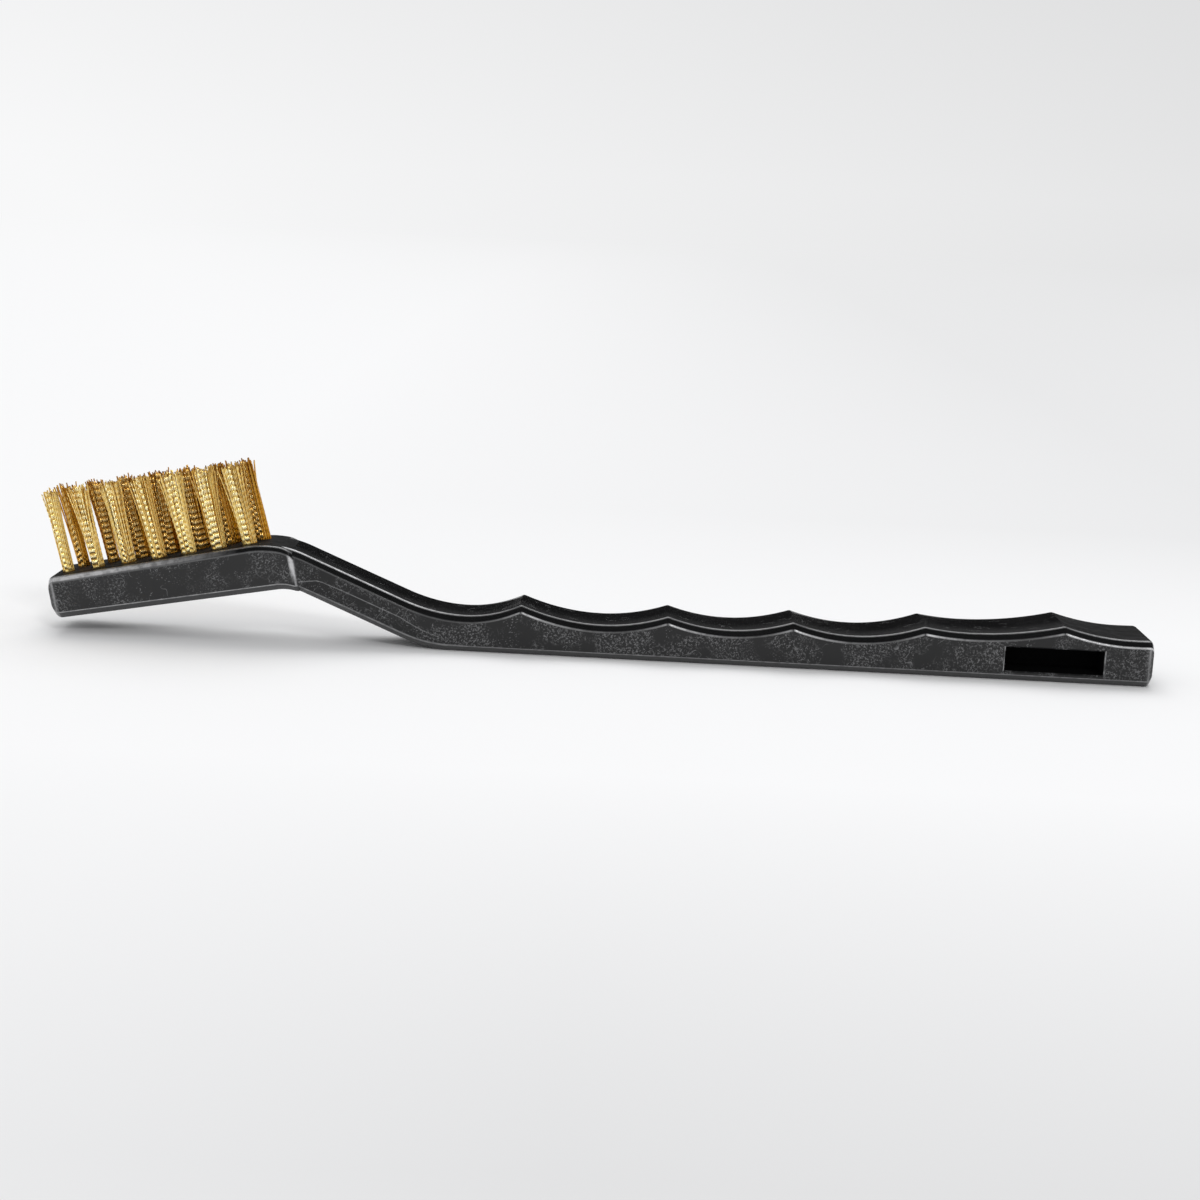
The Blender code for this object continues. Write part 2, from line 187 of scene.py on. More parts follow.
STRAY_SHARE = 0.14  # of the wires, so many lean well out
STRAY_SPLAY = (0.3, 1.0)  # by these shares of the reach
UPRIGHT_SPLAY = 0.10  # how unevenly the others lean in or out
WIRE_LEAN = 0.15  # and how unevenly each leans any way
LOCK_LEAN = (0.32, 0.20)  # and each lock, along and across the head
SPLAY_CURVE = 1.7
TONE_SPREAD = 0.24
REAR_SHADE = 0.50  # painted shade: how much darker the rear row is, and the sides of each tuft
SIDE_SHADE = 0.2
DARK_END_SHARE = 0.5  # of the wires, so many are darker towards their end
DARK_END_LENGTH = 0.0009

# Camera
CAMERA_PLACE = Vector((0.00327, -0.33457, 0.07605))
CAMERA_TURN = math.radians(0.54)
CAMERA_PITCH = math.radians(-11.40)
CAMERA_ROLL = math.radians(2.69)
CAMERA_LENS = 63.0  # millimetres
SENSOR_WIDTH = 36.0

# Places that follow from the sizes above
NECK_DROP = math.tan(NECK_SLOPE)
HEAD_RISE = math.tan(HEAD_SLOPE)
NECK_UPRIGHT = NECK_THICKNESS / math.cos(NECK_SLOPE)
TOP_CORNER_SHIFT = (NECK_UPRIGHT - VALLEY_HEIGHTS[0]) / NECK_DROP
HEAD_RUN = HEAD_END_LEAN + HEAD_LENGTH
HANDLE_LENGTH = HEAD_RUN + NECK_RUN + TOP_CORNER_SHIFT + NECK_TOP_REACH + sum(RIDGE_RUNS)
TIP_X = HEAD_END_LEAN - HANDLE_LENGTH / 2
HEEL_X = TIP_X + HEAD_LENGTH
STEP_X = HEEL_X + HEAD_OVERHANG
NECK_END_X = HEEL_X + NECK_RUN
TOP_CORNER_X = NECK_END_X + TOP_CORNER_SHIFT
GRIP_X = TOP_CORNER_X + NECK_TOP_REACH
BUTT_X = GRIP_X + sum(RIDGE_RUNS)
LAST_RIDGE_X = BUTT_X - RIDGE_RUNS[-1]
RIDGE_PLACES = list(accumulate(RIDGE_RUNS[:-1], initial=GRIP_X))[1:]
SLOT_END_X = BUTT_X - SLOT_FROM_BUTT
SLOT_START_X = SLOT_END_X - SLOT_LENGTH
SLOT_TOP_Z = min(VALLEY_HEIGHTS[-2:]) - SLOT_ROOF_WALL
HEEL_Z = NECK_RUN * NECK_DROP
TIP_Z = HEEL_Z - HEAD_LENGTH * HEAD_RISE
TOP_RISE = (HEEL_Z + HEEL_THICKNESS - TIP_Z - TIP_THICKNESS) / HEAD_RUN
APEX_X = ((NECK_DROP * NECK_END_X + NECK_UPRIGHT - TIP_Z - TIP_THICKNESS
           + TOP_RISE * (TIP_X - HEAD_END_LEAN)) / (TOP_RISE + NECK_DROP))
TUFT_TILT = math.atan(TOP_RISE) + TUFT_LEAN


def bent_line(x, corner_x, corner_z, slope_before, slope_after, reach):
    """Height of two straight lines that a parabola blends around their corner."""
    along = x - corner_x
    if along <= -reach:
        return corner_z + slope_before * along
    if along >= reach:
        return corner_z + slope_after * along
    bend = (slope_after - slope_before) * (along + reach) ** 2 / (4 * reach)
    return corner_z + slope_before * along + bend


def under_height(x):
    if x < (HEEL_X + NECK_END_X) / 2:
        return bent_line(x, HEEL_X, HEEL_Z, HEAD_RISE, -NECK_DROP, HEEL_UNDER_REACH)
    return bent_line(x, NECK_END_X, 0.0, -NECK_DROP, 0.0, NECK_UNDER_REACH)


def scoop_height(x):
    """The grip's top: half a parabola down from each ridge to its valley and up again."""
    start = GRIP_X
    tops = (VALLEY_HEIGHTS[0],) + RIDGE_HEIGHTS + (BUTT_HEIGHT,)
    for index, run in enumerate(RIDGE_RUNS):
        if x <= start + run or index == len(RIDGE_RUNS) - 1:
            break
        start += run
    low_x = start + run * VALLEY_SHARES[index]
    low_z = VALLEY_HEIGHTS[index]
    if x < low_x:
        return low_z + (tops[index] - low_z) * ((low_x - x) / (low_x - start)) ** 2
    return low_z + (tops[index + 1] - low_z) * ((x - low_x) / (start + run - low_x)) ** 2


def soft_scoop_height(x):
    """The scooped top with its crests rounded by a short running mean."""
    shares = (-1.0, -0.6, -0.2, 0.2, 0.6, 1.0)
    places = [min(BUTT_X, max(GRIP_X, x + share * RIDGE_SOFTNESS)) for share in shares]
    return sum(scoop_height(place) for place in places) / len(places)


def head_top(x):
    return TIP_Z + TIP_THICKNESS + TOP_RISE * (x - TIP_X + HEAD_END_LEAN)


def top_height(x):
    if x < (APEX_X + TOP_CORNER_X) / 2:
        return bent_line(x, APEX_X, head_top(APEX_X), TOP_RISE, -NECK_DROP, HEEL_TOP_REACH)
    if x < GRIP_X:
        return bent_line(x, TOP_CORNER_X, VALLEY_HEIGHTS[0], -NECK_DROP, 0.0, NECK_TOP_REACH)
    return soft_scoop_height(x)


def quarter_round(depth, radius):
    """How far a rounded edge is drawn in at this depth from its end."""
    if depth >= radius:
        return 0.0
    return radius - math.sqrt(max(0.0, radius ** 2 - (radius - depth) ** 2))


def flat_corner(depth, run, drawn_in, softened=CORNER_ROUND):
    """How far a flat corner, softened where it meets the flank, is drawn in at this depth."""
    return bent_line(depth, run, 0.0, -drawn_in / run, 0.0, softened)


def share_along(x, start, end):
    return min(1.0, max(0.0, (x - start) / (end - start)))


def head_half_width(x):
    """Half the head's width in plan, with flat corners at the tip and at the neck."""
    width = TIP_WIDTH + (HEEL_WIDTH - TIP_WIDTH) * share_along(x, TIP_X, STEP_X)
    corner = flat_corner(x - TIP_X, TIP_CORNER_RUN, TIP_CORNER)
    corner += flat_corner(STEP_X - x, STEP_CHAMFER, STEP_CHAMFER, STEP_CHAMFER_ROUND)
    return width / 2 - corner


def half_width(x):
    """Half the width of neck and grip in plan, with the flat corners of the butt."""
    if x <= GRIP_X:
        width = NECK_WIDTH + (GRIP_START_WIDTH - NECK_WIDTH) * share_along(x, STEP_X, GRIP_X)
    else:
        width = GRIP_START_WIDTH + (BUTT_WIDTH - GRIP_START_WIDTH) * share_along(x, GRIP_X, BUTT_X)
    return width / 2 - flat_corner(BUTT_X - x, BUTT_CORNER_RUN, BUTT_CORNER)


def end_lean(x):
    return HEAD_END_LEAN * (1 - share_along(x, STEP_X, STEP_X + LEAN_RUN))


def crease(x):
    """Height and inset of the crease low on the neck's sides."""
    least = UNDER_CHAMFER + CREASE_LEAST_RISE
    climbed = share_along(x, STEP_X, STEP_X + CREASE_START_RUN)
    start = CREASE_START + (CREASE_HEIGHT - CREASE_START) * climbed
    fade = 1 - share_along(x, NECK_END_X - NECK_UNDER_REACH, GRIP_X)
    return least + (start - least) * fade, CREASE_INSET * fade


def rounded_corner(before, corner, after, cut):
    """A curve from cut before a corner to cut after it: shares of the way, and points."""
    start = corner + (before - corner).normalized() * cut
    end = corner + (after - corner).normalized() * cut
    shares = [step / EDGE_STEPS for step in range(EDGE_STEPS + 1)]
    return [(t, start * (1 - t) ** 2 + corner * (2 * t * (1 - t)) + end * t ** 2) for t in shares]


# Marks of the surfaces, for the plastic's material, and how finely edges are drawn
FLANK, TOP_FACE, CHAMFER, UNDERSIDE, UNDER_BEVEL = 1.0, 0.5, 0.0, -0.5, -1.0
EDGE_STEPS = 4
MOST_OF_EDGE = 0.45  # no rounding takes more than this share of a straight
INNER_POINT = 0.55  # share of a face's half width at which one more point lies


def bump_at(x, middle, reach):
    """1 at the middle, fading to 0 within reach of it."""
    return max(0.0, 1 - abs(x - middle) / reach)


def flank_edge_highlight(x):
    """How strong the painted highlight on the flank's upper edge is: most just past each ridge, on
    the butt's side.
    """
    highlight = FLANK_EDGE_HIGHLIGHT
    for crest in RIDGE_PLACES:
        if x > crest:
            fading = PAST_LAST_RIDGE_FADE if crest == RIDGE_PLACES[-1] else PAST_RIDGE_FADE
            highlight = max(highlight, PAST_RIDGE_HIGHLIGHT * math.exp(-(x - crest) / fading))
        else:
            highlight = max(highlight, BEFORE_RIDGE_HIGHLIGHT * math.exp((x - crest) / BEFORE_RIDGE_FADE))
        highlight *= 1 - bump_at(x, crest, RIDGE_GAP)
    return highlight + BUTT_SPOT_HIGHLIGHT * bump_at(x, BUTT_X - BUTT_SPOT_BACK, BUTT_SPOT_REACH)


def top_edge_highlight(x):
    """How strong the painted highlight on the top face's edge is: most along the neck."""
    rise, fall = NECK_HIGHLIGHT_FADES
    neck = share_along(x, STEP_X - rise, STEP_X) * (1 - share_along(x, NECK_END_X - fall, GRIP_X))
    butt = share_along(x, LAST_RIDGE_X, LAST_RIDGE_X + BUTT_HIGHLIGHT_FADE)
    return TOP_EDGE_HIGHLIGHT + NECK_EDGE_HIGHLIGHT * neck + BUTT_EDGE_HIGHLIGHT * butt


def head_chamfer_highlight(x):
    """How strong the painted highlight on the head's top chamfer is: most at the tip."""
    start, end = TIP_CHAMFER_FADE
    return TIP_CHAMFER_HIGHLIGHT * (1 - share_along(x, TIP_X + start, HEEL_X - end))


def heel_band_highlight(x, rise):
    """The painted highlight down the head's corner at the neck: pointed at its top and widest below
    that.
    """
    widening = share_along(rise, *STEP_BAND_WIDENS)
    point = share_along(rise, STEP_BAND_WIDENS[1], 1.0)
    foot, wide, top = STEP_BAND_BACKS
    back = foot + wide * widening + top * point ** 1.5
    foot, wide, top = STEP_BAND_REACHES
    reach = foot + wide * widening + top * point
    foot, more = STEP_BAND_HIGHLIGHT
    return (foot + more * rise) * bump_at(x, STEP_X - back, reach)


def end_band_highlight(from_end, rise, band):
    """The fainter painted highlights, in straight bands, at the tip and at the butt."""
    foot, more, back, reach = band
    return (foot + more * rise) * bump_at(from_end, back, reach)


def half_outline(half, low, high, chamfer, crease_at, highlight, band_highlight):
    """Right half of a section from the bottom up: (y, z) points, their surface and painted
    highlight.

    The sixth argument gives the painted highlights of the bottom edge, the flank's upper
    edge, the chamfer and the top edge; the last gives that of a painted highlight band
    down the flank, from the share of its height.
    """
    crease_height, inset = crease_at
    corners = [
        Vector((0.0, low)),
        Vector((half - inset - UNDER_CHAMFER, low)),
        Vector((half - inset, low + UNDER_CHAMFER)),
        Vector((half, low + crease_height)),
        Vector((half, high - chamfer)),
        Vector((half - chamfer, high)),
        Vector((0.0, high)),
    ]
    under_highlight, flank_highlight, chamfer_highlight, top_highlight = highlight
    edges = (  # what its rounding cuts off, the surfaces before and after it, and its painted highlight
        (EDGE_ROUND, UNDERSIDE, UNDER_BEVEL, 0.0),
        (EDGE_ROUND, UNDER_BEVEL, FLANK, under_highlight),
        (CREASE_ROUND, FLANK, FLANK, CREASE_HIGHLIGHT * inset / CREASE_INSET),
        (EDGE_ROUND, FLANK, CHAMFER, flank_highlight),
        (TOP_EDGE_ROUND, CHAMFER, TOP_FACE, top_highlight),
    )
    points = [(corners[0], UNDERSIDE, 0.0),
              (corners[0].lerp(corners[1], INNER_POINT), UNDERSIDE, 0.0)]
    for index, (cut, kind_before, kind_after, edge_highlight) in enumerate(edges):
        before, corner, after = corners[index:index + 3]
        room = MOST_OF_EDGE * min((corner - before).length, (after - corner).length)
        for share, point in rounded_corner(before, corner, after, min(cut, room)):
            line = edge_highlight * (1 - abs(2 * share - 1)) ** 0.5
            surface = kind_before * (1 - share) + kind_after * share
            on_chamfer = max(0.0, 2 * (0.0, 0.0, 0.0, share, 1 - share)[index] - 1)
            on_flank = (0.0, share, 1.0, 1 - share, 0.0)[index]
            band = on_flank * band_highlight((point.y - low) / (high - low))
            points.append((point, surface, max(line, band, chamfer_highlight * on_chamfer)))
    return points + [(corners[-1].lerp(corners[-2], INNER_POINT), TOP_FACE, 0.0),
                     (corners[-1], TOP_FACE, 0.0)]


def whole_outline(half_points, x, lean, low, high):
    """Closed outline whose foot is at x and whose top lies ahead of it by the lean."""
    right = [(point.x, point.y, kind, worn) for point, kind, worn in half_points]
    left = [(-y, z, kind, worn) for y, z, kind, worn in right[-2:0:-1]]
    return [(Vector((x - lean * (z - low) / (high - low), y, z)), kind, worn)
            for y, z, kind, worn in right + left]


def head_section(x):
    """Section of the head, whose end at the neck is a leaning face with a rounded top."""
    low = under_height(x)
    high = top_height(x - HEAD_END_LEAN)
    edge = quarter_round(x - TIP_X, TIP_EDGE_RADIUS)
    foot = low + edge + quarter_round(STEP_X - x, STEP_FOOT_RADIUS)
    top = high - edge - quarter_round(STEP_X - x, STEP_TOP_RUN) * STEP_TOP_DROP / STEP_TOP_RUN
    no_crease = (UNDER_CHAMFER + CREASE_LEAST_RISE, 0.0)
    bottom_highlight, flank_highlight, top_highlight = HEAD_EDGES_HIGHLIGHT
    highlight = (bottom_highlight, flank_highlight, head_chamfer_highlight(x), top_highlight)
    points = half_outline(head_half_width(x), foot, top, HEAD_TOP_CHAMFER, no_crease, highlight,
                          lambda rise: max(heel_band_highlight(x, rise),
                                           end_band_highlight(x - TIP_X, rise, TIP_BAND)))
    return whole_outline(points, x, HEAD_END_LEAN, low, high)


def body_section(x):
    """Section of neck and grip. Inside the head it stays just under the head's faces."""
    foot_hidden = 1 - share_along(x, STEP_X - 3 * STEP_FOOT_RADIUS, STEP_X - STEP_FOOT_RADIUS)
    top_start = STEP_X - STEP_TOP_RUN
    top_hidden = 1 - share_along(x, top_start - HIDDEN_RUN, top_start)
    low = under_height(x) + HIDDEN_DEPTH * foot_hidden
    high = top_height(x - end_lean(x)) - HIDDEN_DEPTH * top_hidden
    edge = quarter_round(BUTT_X - x, BUTT_EDGE_RADIUS)
    highlight = (UNDER_EDGE_HIGHLIGHT, flank_edge_highlight(x), 0.0, top_edge_highlight(x))
    points = half_outline(half_width(x), low + edge, high - edge, TOP_CHAMFER, crease(x), highlight,
                          lambda rise: end_band_highlight(BUTT_X - x, rise, BUTT_BAND))
    return whole_outline(points, x, end_lean(x), low, high)


# The neck's root in the head, and the steps between the sections that are drawn
HIDDEN_DEPTH = 0.00004  # how far the neck's root lies under the head's faces
HIDDEN_RUN = 0.0008
ROOT_RUN = 0.0060  # how far the neck's root reaches into the head
ROUND_STEPS = 12
BEND_STEP = 0.0003
STRAIGHT_STEP = 0.0008
SCOOP_STEP = 0.0006
BAND_STEP = 0.00012
LEAST_STEP = 0.000004
CREST_STEPS = (0.0, 0.00008, 0.00018, 0.00030, 0.00045)  # from each crest, both ways


def spread(start, end, step):
    """Places from the start on, up to a step before the end."""
    count = max(1, math.ceil((end - start) / step))
    return [start + (end - start) * index / count for index in range(count)]


def quarter_depths(radius):
    """Depths from an end at which its rounding is drawn."""
    angles = [math.pi / 2 * index / ROUND_STEPS for index in range(ROUND_STEPS + 1)]
    return [radius * (1 - math.cos(angle)) for angle in angles]


def end_places(radius, run):
    """Depths from an end where sections are drawn: fine at its rounded edge and corner."""
    bend = [run + CORNER_ROUND * (index / 4 - 1) for index in range(9)]
    return quarter_depths(radius) + bend


def well_apart(places):
    """The places in order, without those that all but coincide."""
    kept = []
    for place in sorted(places):
        if not kept or place - kept[-1] > LEAST_STEP:
            kept.append(place)
    return kept


def head_places():
    tip_end = TIP_X + TIP_CORNER_RUN + CORNER_ROUND
    bend_start = APEX_X - HEEL_TOP_REACH
    places = [TIP_X + depth for depth in end_places(TIP_EDGE_RADIUS, TIP_CORNER_RUN)]
    places += spread(tip_end, bend_start, STRAIGHT_STEP)
    places += spread(bend_start, STEP_X - STEP_TOP_RUN, BEND_STEP)
    for radius in (STEP_TOP_RUN, STEP_CHAMFER, STEP_FOOT_RADIUS):
        places += [STEP_X - depth for depth in quarter_depths(radius)]
    places += [STEP_X - STEP_CHAMFER + STEP_CHAMFER_ROUND * (index / 3 - 1) for index in range(7)]
    places += spread(STEP_X - STEP_TOP_RUN, STEP_X - STEP_FOOT_RADIUS, BAND_STEP)
    return well_apart(places)


def body_places():
    """Where sections of neck and grip are drawn, closest at crests and bends."""
    bend_end = HEEL_X + HEEL_TOP_REACH
    neck_end = NECK_END_X - NECK_UNDER_REACH
    butt_start = BUTT_X - BUTT_CORNER_RUN - CORNER_ROUND
    places = spread(STEP_X - ROOT_RUN, bend_end, BEND_STEP)
    places += spread(bend_end, neck_end, STRAIGHT_STEP)
    places += spread(neck_end, GRIP_X, BEND_STEP)
    places += spread(GRIP_X, butt_start, SCOOP_STEP)
    clear = CREST_STEPS[-1] + SCOOP_STEP / 3
    for crest in RIDGE_PLACES:
        places = [place for place in places if abs(place - crest) > clear]
        places += [crest + way * step for step in CREST_STEPS for way in (-1, 1)]
    places += [BUTT_X - depth for depth in end_places(BUTT_EDGE_RADIUS, BUTT_CORNER_RUN)]
    return well_apart(places)


def tuft_frames():
    """Name, placing and fullness of each tuft: its Z points out along the wires."""
    turn = Matrix.Rotation(-TUFT_TILT, 4, "Y")
    first_x = TIP_X - HEAD_END_LEAN + TUFT_FROM_TIP
    frames = []
    for row, side, shift in (("front", -1, 0.0), ("rear", 1, ROW_STAGGER)):
        for index in range(TUFTS_PER_ROW):
            x = first_x + shift + index * TUFT_PITCH
            place = Matrix.Translation((x, side * ROW_SPACING / 2, head_top(x)))
            frames.append((f"{row}_{index + 1}", place @ turn, FULLNESS[row][index]))
    return frames


def link_object(name, data):
    thing = bpy.data.objects.new(name, data)
    bpy.context.scene.collection.objects.link(thing)
    return thing


def new_object(name, bm, material=None, smooth_angle=math.radians(30)):
    """Link a finished bmesh as an object, with its edges sharp from the angle on."""
    bmesh.ops.recalc_face_normals(bm, faces=bm.faces)
    mesh = bpy.data.meshes.new(name)
    bm.to_mesh(mesh)
    bm.free()
    mesh.shade_smooth()
    mesh.set_sharp_from_angle(angle=smooth_angle)
    if material is not None:
        mesh.materials.append(material)
    return link_object(name, mesh)


def join_loops(bm, loops):
    """Join loops of as many vertices into one closed body."""
    for first, second in zip(loops, loops[1:]):
        for index in range(len(first)):
            after = (index + 1) % len(first)
            bm.faces.new((first[index], first[after], second[after], second[index]))
    bm.faces.new(loops[0])
    bm.faces.new(loops[-1])


def add_body(bm, rings):
    """Join rings of as many points into one closed body."""
    join_loops(bm, [[bm.verts.new(point) for point in ring] for ring in rings])


def loft(sections):
    """Skin sections into one closed body."""
    bm = bmesh.new()
    add_body(bm, [[point for point, _, _ in section] for section in sections])
    return bm


def mark_surfaces(handle, marks):
    """Give each vertex the surface and painted highlight of the section point that it came from."""
    tree = KDTree(len(marks))
    for index, (point, _, _) in enumerate(marks):
        tree.insert(point, index)
    tree.balance()
    mesh = handle.data
    kinds = mesh.attributes.new("surface_kind", "FLOAT", "POINT")
    highlight = mesh.attributes.new("edge_highlight", "FLOAT", "POINT")
    for vertex in mesh.vertices:
        _, nearest, _ = tree.find(vertex.co)
        _, kinds.data[vertex.index].value, highlight.data[vertex.index].value = marks[nearest]


def slot_ring(grown, y_at):
    """Corners of the slot, moved apart by grown, each at the Y that y_at gives for its X."""
    low_x, high_x = SLOT_START_X - grown, SLOT_END_X + grown
    low_z, high_z = SLOT_FLOOR_WALL - grown, SLOT_TOP_Z + grown
    corners = ((low_x, low_z), (high_x, low_z), (high_x, high_z), (low_x, high_z))
    return [(x, y_at(x), z) for x, z in corners]


def make_slot_cutter():
    """Blind slot in each flank, with a small flare at its mouth."""
    bm = bmesh.new()
    out = 3 * SLOT_RIM
    for side in (-1, 1):
        inner = slot_ring(0.0, lambda x: side * SLOT_WEB / 2)
        rim = slot_ring(0.0, lambda x: side * (half_width(x) - SLOT_RIM))
        mouth = slot_ring(out, lambda x: side * (half_width(x) - (SLOT_RIM - out)))
        add_body(bm, [inner, rim, mouth])
    return new_object("slot_cutter", bm)


def make_hole_cutter(frames):
    """Deep round holes with a small flare, for the tufts."""
    bm = bmesh.new()
    angles = [2 * math.pi * index / HOLE_SIDES for index in range(HOLE_SIDES)]
    for _, place, fullness in frames:
        hole = TUFT_ROOT_RADIUS * fullness + HOLE_CLEARANCE
        rings = ((hole, -HOLE_DEPTH), (hole, -HOLE_RIM), (hole + 4 * HOLE_RIM, 3 * HOLE_RIM))
        add_body(bm, [[place @ Vector((radius * math.cos(a), radius * math.sin(a), height))
                       for a in angles] for radius, height in rings])
    return new_object("hole_cutter", bm)


def make_room_cutter(frames):
    """Rooms of the strips that hold the tufts."""
    bm = bmesh.new()
    for _, place, _ in frames:
        ends = bmesh.ops.create_cube(bm, size=1.0)["verts"]
        size = Matrix.Diagonal((ANCHOR_LENGTH, ANCHOR_ROOM, ANCHOR_HEIGHT, 1.0))
        middle = place @ Matrix.Translation((0, 0, -ANCHOR_DEPTH))
        bmesh.ops.transform(bm, matrix=middle @ size, verts=ends)
    return new_object("room_cutter", bm)


def paint_faces(handle):
    """The slots with their painted shade, the flare at their mouths with its painted highlight, and
    the two dull top faces with painted reflection streaks have their own finish.
    """
    for material in (make_slot_shade(), make_rim_highlight(), make_dull_plastic()):
        handle.data.materials.append(material)
    in_slot, at_mouth, dull = 1, 2, 3
    kinds = handle.data.attributes["surface_kind"].data
    near = 2 * SLOT_RIM
    for face in handle.data.polygons:
        middle = face.center
        depth = half_width(middle.x) - abs(middle.y)
        by_slot = (SLOT_START_X - near < middle.x < SLOT_END_X + near
                   and SLOT_FLOOR_WALL - near < middle.z < SLOT_TOP_Z + near)
        if by_slot and depth > SLOT_RIM / 4:
            face.material_index = in_slot if depth > SLOT_RIM * 1.05 else at_mouth
        on_top = all(abs(kinds[index].value - TOP_FACE) < 0.01 for index in face.vertices)
        painted_sheen = middle.x > LAST_RIDGE_X or middle.x < HEEL_X
        if on_top and painted_sheen and face.normal.z > 0.5:
            face.material_index = dull


def combine(piece, cutter, operation):
    """Join one piece with another or cut it with it, for good, and drop the other."""
    boolean = piece.modifiers.new("combine", "BOOLEAN")
    boolean.operation = operation
    boolean.solver = "EXACT"
    boolean.object = cutter
    bpy.context.view_layer.update()
    seen = piece.evaluated_get(bpy.context.evaluated_depsgraph_get())
    cut_mesh = bpy.data.meshes.new_from_object(seen)
    piece.modifiers.remove(boolean)
    piece.data = cut_mesh
    bpy.data.objects.remove(cutter, do_unlink=True)


def make_handle(frames):
    """The one moulding, with its tuft holes and slots."""
    plastic = make_plastic()
    head = [head_section(x) for x in head_places()]
    body = [body_section(x) for x in body_places()]
    handle = new_object("moulded_handle", loft(head), plastic)
    combine(handle, new_object("neck_and_grip", loft(body), plastic), "UNION")
    for cutter in (make_hole_cutter(frames), make_room_cutter(frames), make_slot_cutter()):
        combine(handle, cutter, "DIFFERENCE")
    mark_surfaces(handle, [mark for section in head + body for mark in section])
    paint_faces(handle)
    handle.data.shade_smooth()
    handle.data.set_sharp_from_angle(angle=HANDLE_SHARP_ANGLE)
    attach(handle, "root")
    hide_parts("handle")


def packed_places(radius, pitch, chance):
    """Wires packed side by side in a round hole, a little uneven."""
    places = []
    rows = math.ceil(radius / pitch) + 1
    turn = chance.uniform(0, math.pi)
    for row in range(-rows, rows + 1):
        for column in range(-rows, rows + 1):
            place = Vector((pitch * (column + row / 2), pitch * row * math.sqrt(3) / 2))
            place += Vector((chance.uniform(-1, 1), chance.uniform(-1, 1))) * pitch * 0.12
            if place.length <= radius:
                place.rotate(Matrix.Rotation(turn, 2))
                places.append(place)
    return places


def make_locks(radius, chance):
    """Groups of wires in a tuft: where each is, and how its crimps lie."""
    locks = []
    for index in range(LOCKS_PER_TUFT):
        beaded = index < BEADED_LOCKS
        facing = (-math.pi / 2, math.pi / 2)[index % 2] + (index - 2) * 0.25 + chance.gauss(0, 0.15)
        angle = facing if beaded else chance.uniform(0, 2 * math.pi)
        reach = radius * (0.8 if beaded else math.sqrt(chance.random()))
        locks.append({
            "middle": Vector((reach * math.cos(angle), reach * math.sin(angle))),
            "phase": chance.uniform(0, 2 * math.pi),
            "heading": math.pi / 2 + chance.gauss(0, 0.12 if beaded else 0.6),
            "height": CRIMP_HEIGHT * (1.0 if beaded else chance.uniform(0.15, 0.5)),
            "in_step": 0.10 if beaded else 0.7,
            "tone": 0.0 if beaded else chance.uniform(0.0, 0.3),
            "lean": Vector([chance.gauss(0, uneven) for uneven in LOCK_LEAN]),
        })
    return locks


def wire_plan(root, locks, row, trim, chance):
    """What makes one wire: its root, length, lean, crimp and tone."""
    lock = min(locks, key=lambda each: (each["middle"] - root).length)
    stray = chance.random() < STRAY_SHARE
    splay = chance.uniform(*STRAY_SPLAY) if stray else chance.gauss(0, UPRIGHT_SPLAY)
    away = root.normalized() if root.length > 0 else Vector((1.0, 0.0))
    cross = Vector((chance.gauss(0, WIRE_LEAN), chance.gauss(0, WIRE_LEAN)))
    shorter = min(SHORTEST, max(0.0, chance.gauss(SHORTER, 0.45 * SHORTER)))
    # Painted shade: the rear row and the sides of each tuft are darker.
    painted_shade = (REAR_SHADE if row == "rear" else 0.0) + SIDE_SHADE * (root.x / TUFT_ROOT_RADIUS) ** 2
    return {
        "root": root,
        "length": TUFT_LENGTH - shorter - trim,
        "lean": (away * splay + cross + lock["lean"]) * SPLAY_REACH,
        "phase": lock["phase"] + chance.gauss(0, lock["in_step"]),
        "crimp_way": direction(lock["heading"] + chance.gauss(0, 0.15)),
        "height": lock["height"] * chance.uniform(0.8, 1.1),
        "tone": lock["tone"] + TONE_SPREAD * chance.random() + painted_shade,
        "dark_end": chance.random() < DARK_END_SHARE,
    }


def direction(angle):
    return Vector((math.cos(angle), math.sin(angle)))


def crimp_turn(plan, z):
    """Where in its wave a wire's crimp is at height z, from -1 to 1."""
    return math.sin(2 * math.pi * z / CRIMP_LENGTH + plan["phase"])


def wire_middle(plan, z, widening):
    """The middle of a wire at height z over the head's face, in the tuft's own frame."""
    root = plan["root"]
    if z < 0:
        # Clear of the strip from a third of the depth on, and round it at the fold
        depth = min(1.0, -z / FOLD_DEPTH)
        side = 1.0 if root.y >= 0 else -1.0
        clear = side * max(abs(root.y), FOLD_CLEARANCE)
        folded = 0.0 if depth >= 1.0 else clear * min(1.0, 6 * (1 - depth))
        y = root.y + (folded - root.y) * min(1.0, 3 * depth)
        return Vector((root.x, y, z))
    share = z / TUFT_LENGTH
    fan = 1 + (widening - 1) * share ** TUFT_FAN_CURVE
    middle = root * fan + plan["lean"] * share ** SPLAY_CURVE
    wave = plan["height"] * min(1.0, z / CRIMP_LENGTH) * crimp_turn(plan, z)
    middle += plan["crimp_way"] * wave
    return Vector((middle.x, middle.y, z))


def wire_heights(length):
    """Heights of a wire's rings: a few in its hole, then evenly along its crimps."""
    step = CRIMP_LENGTH / RINGS_PER_CRIMP
    below = [-FOLD_DEPTH * share for share in (1.0, 0.96, 0.8, 0.4)]
    return below + [index * step for index in range(math.floor(length / step))] + [length]


def crimp_valley(plan, z):
    """1 where a crimp turns in to the middle of its tuft, 0 where it bulges outwards."""
    if z <= 0:
        return 1.0
    turn = crimp_turn(plan, z)
    inwards = -plan["root"].dot(plan["crimp_way"])
    return 0.5 + 0.5 * math.copysign(turn, turn * inwards) * plan["height"] / CRIMP_HEIGHT


